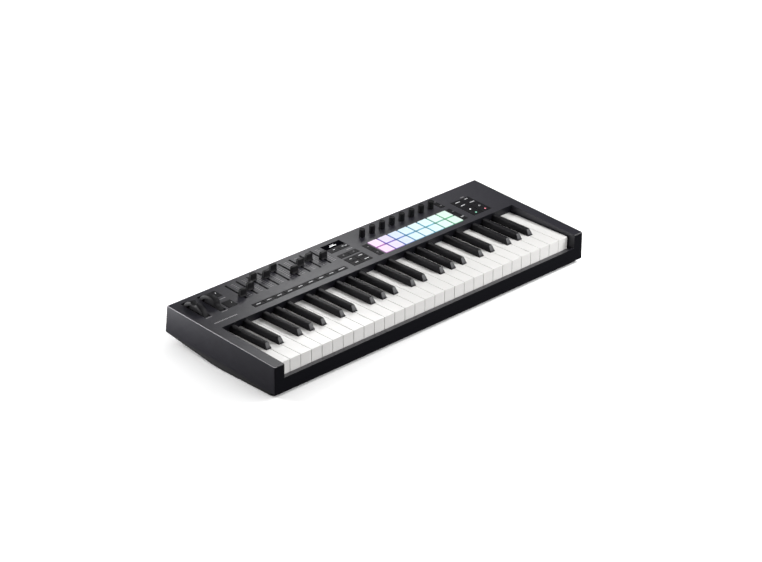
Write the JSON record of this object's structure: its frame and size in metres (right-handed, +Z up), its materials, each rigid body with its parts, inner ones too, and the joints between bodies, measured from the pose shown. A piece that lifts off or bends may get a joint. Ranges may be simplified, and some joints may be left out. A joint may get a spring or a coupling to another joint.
{
  "type": "midi keyboard controller",
  "caption": "Wedge-shaped keyboard controller: white and black keys in front of a control panel with wheels, faders, turning knobs, glowing pads and button groups.",
  "frame": {"origin": "centre of the case's footprint, on the surface the feet rest on", "axes": "+X to the player's right along the keyboard, +Y from the player to the back, +Z up"},
  "size_m": [0.727, 0.27, 0.0852],
  "materials": {
    "shell": "fine-textured satin charcoal",
    "tray": "dark textured",
    "frame": "moulded black",
    "natural": "satin ivory white",
    "sharp": "fine matte black",
    "rubberised": "soft-touch black",
    "pads": "translucent silicone, lit from below",
    "button": "matte silicone",
    "cap": "fine matte",
    "knob": "ribbed soft-touch"
  },
  "bodies": {
    "case": {"upper_case": "shell", "lower_case": "tray", "key_frame": "frame"},
    "black_keys_1": {"black_keys_1": "sharp"},
    "black_keys_2": {"black_keys_2": "sharp"},
    "black_keys_3": {"black_keys_3": "sharp"},
    "black_keys_4": {"black_keys_4": "sharp"},
    "encoder_1": {"encoder_1": "knob"},
    "encoder_2": {"encoder_2": "knob"},
    "encoder_3": {"encoder_3": "knob"},
    "encoder_4": {"encoder_4": "knob"},
    "encoder_5": {"encoder_5": "knob"},
    "encoder_6": {"encoder_6": "knob"},
    "encoder_7": {"encoder_7": "knob"},
    "encoder_8": {"encoder_8": "knob"},
    "fader_1": {"fader_1": "cap"},
    "fader_2": {"fader_2": "cap"},
    "fader_3": {"fader_3": "cap"},
    "fader_4": {"fader_4": "cap"},
    "fader_5": {"fader_5": "cap"},
    "fader_6": {"fader_6": "cap"},
    "fader_7": {"fader_7": "cap"},
    "fader_8": {"fader_8": "cap"},
    "fader_9": {"fader_9": "cap"},
    "mod_wheel": {"mod_wheel": "rubberised"},
    "pad_mat": {"pad_mat": "pads"},
    "pitch_wheel": {"pitch_wheel": "rubberised"},
    "row_buttons": {"row_buttons": "button"},
    "screen_buttons": {"screen_buttons": "button"},
    "transport_buttons": {"transport_buttons": "button"},
    "wheel_buttons": {"wheel_buttons": "button"},
    "white_key_01": {"white_key_01": "natural"},
    "white_key_02": {"white_key_02": "natural"},
    "white_key_03": {"white_key_03": "natural"},
    "white_key_04": {"white_key_04": "natural"},
    "white_key_05": {"white_key_05": "natural"},
    "white_key_06": {"white_key_06": "natural"},
    "white_key_07": {"white_key_07": "natural"},
    "white_key_08": {"white_key_08": "natural"},
    "white_key_09": {"white_key_09": "natural"},
    "white_key_10": {"white_key_10": "natural"},
    "white_key_11": {"white_key_11": "natural"},
    "white_key_12": {"white_key_12": "natural"},
    "white_key_13": {"white_key_13": "natural"},
    "white_key_14": {"white_key_14": "natural"},
    "white_key_15": {"white_key_15": "natural"},
    "white_key_16": {"white_key_16": "natural"},
    "white_key_17": {"white_key_17": "natural"},
    "white_key_18": {"white_key_18": "natural"},
    "white_key_19": {"white_key_19": "natural"},
    "white_key_20": {"white_key_20": "natural"},
    "white_key_21": {"white_key_21": "natural"},
    "white_key_22": {"white_key_22": "natural"},
    "white_key_23": {"white_key_23": "natural"},
    "white_key_24": {"white_key_24": "natural"},
    "white_key_25": {"white_key_25": "natural"},
    "white_key_26": {"white_key_26": "natural"},
    "white_key_27": {"white_key_27": "natural"},
    "white_key_28": {"white_key_28": "natural"},
    "white_key_29": {"white_key_29": "natural"}
  },
  "joints": [
    {"name": "black_keys_1_press", "type": "hinge", "parent": "case", "child": "black_keys_1", "pos_m": [0, 0.0505, 0.042], "axis": [1, 0, 0], "range_deg": [0, 4], "stiffness_Nm_per_rad": 1.1, "springref_deg": -11.46},
    {"name": "encoder_1_turn", "type": "hinge", "parent": "case", "child": "encoder_1", "pos_m": [0.053, 0.09954, 0.07], "axis": [0, -0.0507, 0.9987], "continuous": true},
    {"name": "fader_1_slide", "type": "slide", "parent": "case", "child": "fader_1", "axis": [0, 0.9987, 0.0507], "range_m": [-0.0059, 0.0391]},
    {"name": "mod_wheel_turn", "type": "hinge", "parent": "case", "child": "mod_wheel", "pos_m": [-0.302, 0.08881, 0.05444], "axis": [1, 0, 0], "range_deg": [-86, 0]},
    {"name": "pad_mat_press", "type": "slide", "parent": "case", "child": "pad_mat", "axis": [0, 0.0507, -0.9987], "range_m": [0, 0.001], "stiffness_N_per_m": 900, "springref_m": -0.002},
    {"name": "pitch_wheel_turn", "type": "hinge", "parent": "case", "child": "pitch_wheel", "pos_m": [-0.336, 0.08881, 0.05444], "axis": [1, 0, 0], "range_deg": [-40, 40], "stiffness_Nm_per_rad": 0.08},
    {"name": "row_buttons_press", "type": "slide", "parent": "case", "child": "row_buttons", "axis": [0, 0.0507, -0.9987], "range_m": [0, 0.0008], "stiffness_N_per_m": 500, "springref_m": -0.002},
    {"name": "screen_buttons_press", "type": "slide", "parent": "case", "child": "screen_buttons", "axis": [0, 0.0507, -0.9987], "range_m": [0, 0.0008], "stiffness_N_per_m": 500, "springref_m": -0.002},
    {"name": "transport_buttons_press", "type": "slide", "parent": "case", "child": "transport_buttons", "axis": [0, 0.0507, -0.9987], "range_m": [0, 0.0008], "stiffness_N_per_m": 500, "springref_m": -0.002},
    {"name": "wheel_buttons_press", "type": "slide", "parent": "case", "child": "wheel_buttons", "axis": [0, 0.0507, -0.9987], "range_m": [0, 0.0008], "stiffness_N_per_m": 400, "springref_m": -0.002},
    {"name": "white_key_01_press", "type": "hinge", "parent": "case", "child": "white_key_01", "pos_m": [0, 0.042, 0.042], "axis": [1, 0, 0], "range_deg": [0, 3.5], "stiffness_Nm_per_rad": 0.6, "springref_deg": -11.46},
    {"name": "white_key_02_press", "type": "hinge", "parent": "case", "child": "white_key_02", "pos_m": [0, 0.042, 0.042], "axis": [1, 0, 0], "range_deg": [0, 3.5], "stiffness_Nm_per_rad": 0.6, "springref_deg": -11.46},
    {"name": "white_key_03_press", "type": "hinge", "parent": "case", "child": "white_key_03", "pos_m": [0, 0.042, 0.042], "axis": [1, 0, 0], "range_deg": [0, 3.5], "stiffness_Nm_per_rad": 0.6, "springref_deg": -11.46},
    {"name": "white_key_04_press", "type": "hinge", "parent": "case", "child": "white_key_04", "pos_m": [0, 0.042, 0.042], "axis": [1, 0, 0], "range_deg": [0, 3.5], "stiffness_Nm_per_rad": 0.6, "springref_deg": -11.46},
    {"name": "white_key_05_press", "type": "hinge", "parent": "case", "child": "white_key_05", "pos_m": [0, 0.042, 0.042], "axis": [1, 0, 0], "range_deg": [0, 3.5], "stiffness_Nm_per_rad": 0.6, "springref_deg": -11.46},
    {"name": "white_key_06_press", "type": "hinge", "parent": "case", "child": "white_key_06", "pos_m": [0, 0.042, 0.042], "axis": [1, 0, 0], "range_deg": [0, 3.5], "stiffness_Nm_per_rad": 0.6, "springref_deg": -11.46},
    {"name": "white_key_07_press", "type": "hinge", "parent": "case", "child": "white_key_07", "pos_m": [0, 0.042, 0.042], "axis": [1, 0, 0], "range_deg": [0, 3.5], "stiffness_Nm_per_rad": 0.6, "springref_deg": -11.46},
    {"name": "white_key_08_press", "type": "hinge", "parent": "case", "child": "white_key_08", "pos_m": [0, 0.042, 0.042], "axis": [1, 0, 0], "range_deg": [0, 3.5], "stiffness_Nm_per_rad": 0.6, "springref_deg": -11.46},
    {"name": "white_key_09_press", "type": "hinge", "parent": "case", "child": "white_key_09", "pos_m": [0, 0.042, 0.042], "axis": [1, 0, 0], "range_deg": [0, 3.5], "stiffness_Nm_per_rad": 0.6, "springref_deg": -11.46},
    {"name": "white_key_10_press", "type": "hinge", "parent": "case", "child": "white_key_10", "pos_m": [0, 0.042, 0.042], "axis": [1, 0, 0], "range_deg": [0, 3.5], "stiffness_Nm_per_rad": 0.6, "springref_deg": -11.46},
    {"name": "white_key_11_press", "type": "hinge", "parent": "case", "child": "white_key_11", "pos_m": [0, 0.042, 0.042], "axis": [1, 0, 0], "range_deg": [0, 3.5], "stiffness_Nm_per_rad": 0.6, "springref_deg": -11.46},
    {"name": "white_key_12_press", "type": "hinge", "parent": "case", "child": "white_key_12", "pos_m": [0, 0.042, 0.042], "axis": [1, 0, 0], "range_deg": [0, 3.5], "stiffness_Nm_per_rad": 0.6, "springref_deg": -11.46},
    {"name": "white_key_13_press", "type": "hinge", "parent": "case", "child": "white_key_13", "pos_m": [0, 0.042, 0.042], "axis": [1, 0, 0], "range_deg": [0, 3.5], "stiffness_Nm_per_rad": 0.6, "springref_deg": -11.46},
    {"name": "white_key_14_press", "type": "hinge", "parent": "case", "child": "white_key_14", "pos_m": [0, 0.042, 0.042], "axis": [1, 0, 0], "range_deg": [0, 3.5], "stiffness_Nm_per_rad": 0.6, "springref_deg": -11.46},
    {"name": "white_key_15_press", "type": "hinge", "parent": "case", "child": "white_key_15", "pos_m": [0, 0.042, 0.042], "axis": [1, 0, 0], "range_deg": [0, 3.5], "stiffness_Nm_per_rad": 0.6, "springref_deg": -11.46},
    {"name": "white_key_16_press", "type": "hinge", "parent": "case", "child": "white_key_16", "pos_m": [0, 0.042, 0.042], "axis": [1, 0, 0], "range_deg": [0, 3.5], "stiffness_Nm_per_rad": 0.6, "springref_deg": -11.46},
    {"name": "white_key_17_press", "type": "hinge", "parent": "case", "child": "white_key_17", "pos_m": [0, 0.042, 0.042], "axis": [1, 0, 0], "range_deg": [0, 3.5], "stiffness_Nm_per_rad": 0.6, "springref_deg": -11.46},
    {"name": "white_key_18_press", "type": "hinge", "parent": "case", "child": "white_key_18", "pos_m": [0, 0.042, 0.042], "axis": [1, 0, 0], "range_deg": [0, 3.5], "stiffness_Nm_per_rad": 0.6, "springref_deg": -11.46},
    {"name": "white_key_19_press", "type": "hinge", "parent": "case", "child": "white_key_19", "pos_m": [0, 0.042, 0.042], "axis": [1, 0, 0], "range_deg": [0, 3.5], "stiffness_Nm_per_rad": 0.6, "springref_deg": -11.46},
    {"name": "white_key_20_press", "type": "hinge", "parent": "case", "child": "white_key_20", "pos_m": [0, 0.042, 0.042], "axis": [1, 0, 0], "range_deg": [0, 3.5], "stiffness_Nm_per_rad": 0.6, "springref_deg": -11.46},
    {"name": "white_key_21_press", "type": "hinge", "parent": "case", "child": "white_key_21", "pos_m": [0, 0.042, 0.042], "axis": [1, 0, 0], "range_deg": [0, 3.5], "stiffness_Nm_per_rad": 0.6, "springref_deg": -11.46},
    {"name": "white_key_22_press", "type": "hinge", "parent": "case", "child": "white_key_22", "pos_m": [0, 0.042, 0.042], "axis": [1, 0, 0], "range_deg": [0, 3.5], "stiffness_Nm_per_rad": 0.6, "springref_deg": -11.46},
    {"name": "white_key_23_press", "type": "hinge", "parent": "case", "child": "white_key_23", "pos_m": [0, 0.042, 0.042], "axis": [1, 0, 0], "range_deg": [0, 3.5], "stiffness_Nm_per_rad": 0.6, "springref_deg": -11.46},
    {"name": "white_key_24_press", "type": "hinge", "parent": "case", "child": "white_key_24", "pos_m": [0, 0.042, 0.042], "axis": [1, 0, 0], "range_deg": [0, 3.5], "stiffness_Nm_per_rad": 0.6, "springref_deg": -11.46},
    {"name": "white_key_25_press", "type": "hinge", "parent": "case", "child": "white_key_25", "pos_m": [0, 0.042, 0.042], "axis": [1, 0, 0], "range_deg": [0, 3.5], "stiffness_Nm_per_rad": 0.6, "springref_deg": -11.46},
    {"name": "white_key_26_press", "type": "hinge", "parent": "case", "child": "white_key_26", "pos_m": [0, 0.042, 0.042], "axis": [1, 0, 0], "range_deg": [0, 3.5], "stiffness_Nm_per_rad": 0.6, "springref_deg": -11.46},
    {"name": "white_key_27_press", "type": "hinge", "parent": "case", "child": "white_key_27", "pos_m": [0, 0.042, 0.042], "axis": [1, 0, 0], "range_deg": [0, 3.5], "stiffness_Nm_per_rad": 0.6, "springref_deg": -11.46},
    {"name": "white_key_28_press", "type": "hinge", "parent": "case", "child": "white_key_28", "pos_m": [0, 0.042, 0.042], "axis": [1, 0, 0], "range_deg": [0, 3.5], "stiffness_Nm_per_rad": 0.6, "springref_deg": -11.46},
    {"name": "white_key_29_press", "type": "hinge", "parent": "case", "child": "white_key_29", "pos_m": [0, 0.042, 0.042], "axis": [1, 0, 0], "range_deg": [0, 3.5], "stiffness_Nm_per_rad": 0.6, "springref_deg": -11.46},
    {"name": "black_keys_2_press", "type": "hinge", "parent": "case", "child": "black_keys_2", "pos_m": [0, 0.0505, 0.042], "axis": [1, 0, 0], "range_deg": [0, 4], "stiffness_Nm_per_rad": 1.1, "springref_deg": -11.46},
    {"name": "black_keys_3_press", "type": "hinge", "parent": "case", "child": "black_keys_3", "pos_m": [0, 0.0505, 0.042], "axis": [1, 0, 0], "range_deg": [0, 4], "stiffness_Nm_per_rad": 1.1, "springref_deg": -11.46},
    {"name": "black_keys_4_press", "type": "hinge", "parent": "case", "child": "black_keys_4", "pos_m": [0, 0.0505, 0.042], "axis": [1, 0, 0], "range_deg": [0, 4], "stiffness_Nm_per_rad": 1.1, "springref_deg": -11.46},
    {"name": "fader_2_slide", "type": "slide", "parent": "case", "child": "fader_2", "axis": [0, 0.9987, 0.0507], "range_m": [-0.0148, 0.0302]},
    {"name": "fader_3_slide", "type": "slide", "parent": "case", "child": "fader_3", "axis": [0, 0.9987, 0.0507], "range_m": [-0.0347, 0.0103]},
    {"name": "fader_4_slide", "type": "slide", "parent": "case", "child": "fader_4", "axis": [0, 0.9987, 0.0507], "range_m": [-0.028, 0.017]},
    {"name": "fader_5_slide", "type": "slide", "parent": "case", "child": "fader_5", "axis": [0, 0.9987, 0.0507], "range_m": [-0.0379, 0.0071]},
    {"name": "fader_6_slide", "type": "slide", "parent": "case", "child": "fader_6", "axis": [0, 0.9987, 0.0507], "range_m": [-0.01, 0.035]},
    {"name": "fader_7_slide", "type": "slide", "parent": "case", "child": "fader_7", "axis": [0, 0.9987, 0.0507], "range_m": [-0.0222, 0.0228]},
    {"name": "fader_8_slide", "type": "slide", "parent": "case", "child": "fader_8", "axis": [0, 0.9987, 0.0507], "range_m": [-0.0267, 0.0183]},
    {"name": "fader_9_slide", "type": "slide", "parent": "case", "child": "fader_9", "axis": [0, 0.9987, 0.0507], "range_m": [-0.0157, 0.0293]},
    {"name": "encoder_2_turn", "type": "hinge", "parent": "case", "child": "encoder_2", "pos_m": [0.077, 0.09954, 0.07], "axis": [0, -0.0507, 0.9987], "continuous": true},
    {"name": "encoder_3_turn", "type": "hinge", "parent": "case", "child": "encoder_3", "pos_m": [0.101, 0.09954, 0.07], "axis": [0, -0.0507, 0.9987], "continuous": true},
    {"name": "encoder_4_turn", "type": "hinge", "parent": "case", "child": "encoder_4", "pos_m": [0.125, 0.09954, 0.07], "axis": [0, -0.0507, 0.9987], "continuous": true},
    {"name": "encoder_5_turn", "type": "hinge", "parent": "case", "child": "encoder_5", "pos_m": [0.149, 0.09954, 0.07], "axis": [0, -0.0507, 0.9987], "continuous": true},
    {"name": "encoder_6_turn", "type": "hinge", "parent": "case", "child": "encoder_6", "pos_m": [0.173, 0.09954, 0.07], "axis": [0, -0.0507, 0.9987], "continuous": true},
    {"name": "encoder_7_turn", "type": "hinge", "parent": "case", "child": "encoder_7", "pos_m": [0.197, 0.09954, 0.07], "axis": [0, -0.0507, 0.9987], "continuous": true},
    {"name": "encoder_8_turn", "type": "hinge", "parent": "case", "child": "encoder_8", "pos_m": [0.221, 0.09954, 0.07], "axis": [0, -0.0507, 0.9987], "continuous": true}
  ]
}
